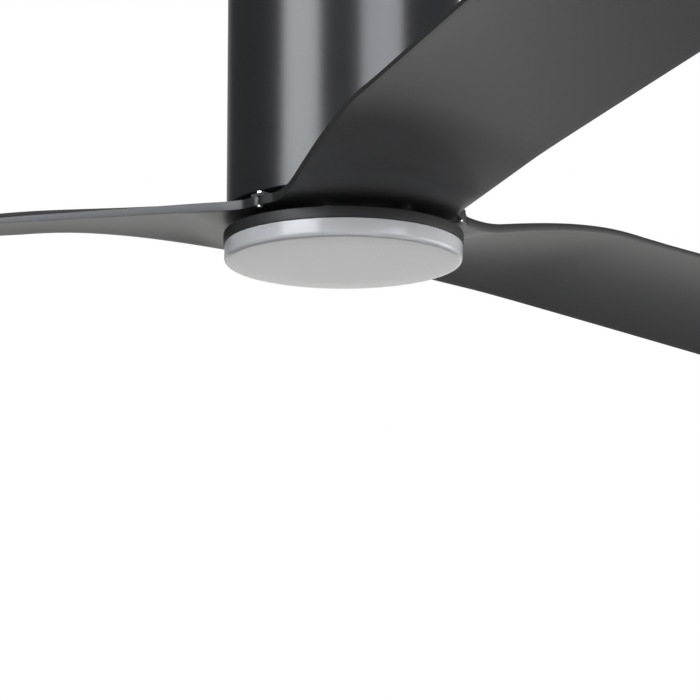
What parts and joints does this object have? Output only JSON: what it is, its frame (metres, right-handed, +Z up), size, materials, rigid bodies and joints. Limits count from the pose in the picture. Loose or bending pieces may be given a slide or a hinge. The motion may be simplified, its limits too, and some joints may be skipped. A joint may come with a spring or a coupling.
{
  "type": "ceiling fan with light",
  "caption": "Low-profile ceiling fan: cylindrical dark housing, turning twisted blades that merge in arcs at the hub, and a fixed flat opal light below.",
  "frame": {"origin": "on the fan's axis in the ceiling plane, at the centre of the ceiling bracket's upper face", "axes": "+Z up along the fan's axis, out of the ceiling bracket; +X and +Y along the slot pattern's two spacings"},
  "size_m": [1.1304, 1.1478, 0.243],
  "materials": {
    "housing_coat": "satin dark powder coat",
    "blade_plastic": "matt charcoal",
    "pan_coat": "satin black",
    "opal_plastic": "opal, satin",
    "zinc_steel": "zinc-plated sheet",
    "screw_steel": "zinc-plated",
    "black_screw": "blackened steel",
    "cast_aluminium": "as cast and machined",
    "dark_aluminium": "cast, painted black",
    "core_steel": "stacked laminations",
    "copper_wire": "enamelled copper",
    "magnet_ferrite": "ground ferrite",
    "white_plastic": "moulded",
    "black_plastic": "moulded",
    "board_green": "solder mask",
    "board_white": "white solder mask",
    "led_resin": "phosphor resin",
    "bearing_steel": "ground and polished",
    "seal_rubber": "moulded rubber",
    "lead_sleeve": "silicone sleeve"
  },
  "bodies": {
    "fixed": {"ceiling_bracket": "zinc_steel", "motor_hanger": "zinc_steel", "hanger_bolts": "screw_steel", "motor_plate": "zinc_steel", "plate_screws": "screw_steel", "plate_nuts": "screw_steel", "housing_shell": "housing_coat", "housing_screws": "black_screw", "shaft_collar": "zinc_steel", "collar_screws": "screw_steel", "collar_set_screws": "black_screw", "motor_shaft": "bearing_steel", "shaft_circlips": "black_screw", "stator_hub": "cast_aluminium", "stator_core": "core_steel", "stator_insulators": "white_plastic", "stator_windings": "copper_wire", "stator_board": "board_green", "receiver_case": "white_plastic", "receiver_lid": "white_plastic", "receiver_board": "board_green", "receiver_screws": "screw_steel", "terminal_block": "white_plastic", "terminal_screws": "screw_steel", "motor_lead": "lead_sleeve", "lamp_lead": "lead_sleeve", "light_carrier": "zinc_steel", "carrier_washer": "screw_steel", "carrier_nut": "screw_steel", "light_pan": "pan_coat", "pan_screws": "screw_steel", "led_tray": "cast_aluminium", "led_board": "board_white", "led_chips": "led_resin", "led_screws": "screw_steel", "lamp_socket": "white_plastic", "lamp_plug": "white_plastic", "upper_bearing_inner": "bearing_steel", "lower_bearing_inner": "bearing_steel"},
    "rotor": {"rotor_bell": "cast_aluminium", "rotor_base": "dark_aluminium", "rotor_screws": "screw_steel", "rotor_yoke": "core_steel", "rotor_magnets": "magnet_ferrite", "upper_bearing_outer": "bearing_steel", "lower_bearing_outer": "bearing_steel", "bearing_seals": "seal_rubber", "blade_1": "blade_plastic", "blade_2": "blade_plastic", "blade_3": "blade_plastic", "blade_screws": "screw_steel", "blade_washers": "black_plastic", "seam_screws": "screw_steel"},
    "upper_cage": {"upper_bearing_balls": "bearing_steel", "upper_bearing_cage": "zinc_steel"},
    "lower_cage": {"lower_bearing_balls": "bearing_steel", "lower_bearing_cage": "zinc_steel"},
    "diffuser": {"diffuser": "opal_plastic"}
  },
  "joints": [
    {"name": "rotor_spin", "type": "hinge", "parent": "fixed", "child": "rotor", "pos_m": [0, 0, -0.192], "axis": [0, 0, 1], "continuous": true},
    {"name": "upper_cage_spin", "type": "hinge", "parent": "fixed", "child": "upper_cage", "pos_m": [0, 0, -0.122], "axis": [0, 0, 1], "continuous": true},
    {"name": "lower_cage_spin", "type": "hinge", "parent": "fixed", "child": "lower_cage", "pos_m": [0, 0, -0.192], "axis": [0, 0, 1], "continuous": true},
    {"name": "diffuser_twist", "type": "hinge", "parent": "fixed", "child": "diffuser", "pos_m": [0, 0, -0.23], "axis": [0, 0, 1], "range_deg": [-18.5, 0]}
  ],
  "couplings": [
    {"joint": "upper_cage_spin", "follows": "rotor_spin", "ratio": 0.6158},
    {"joint": "lower_cage_spin", "follows": "rotor_spin", "ratio": 0.6158}
  ]
}
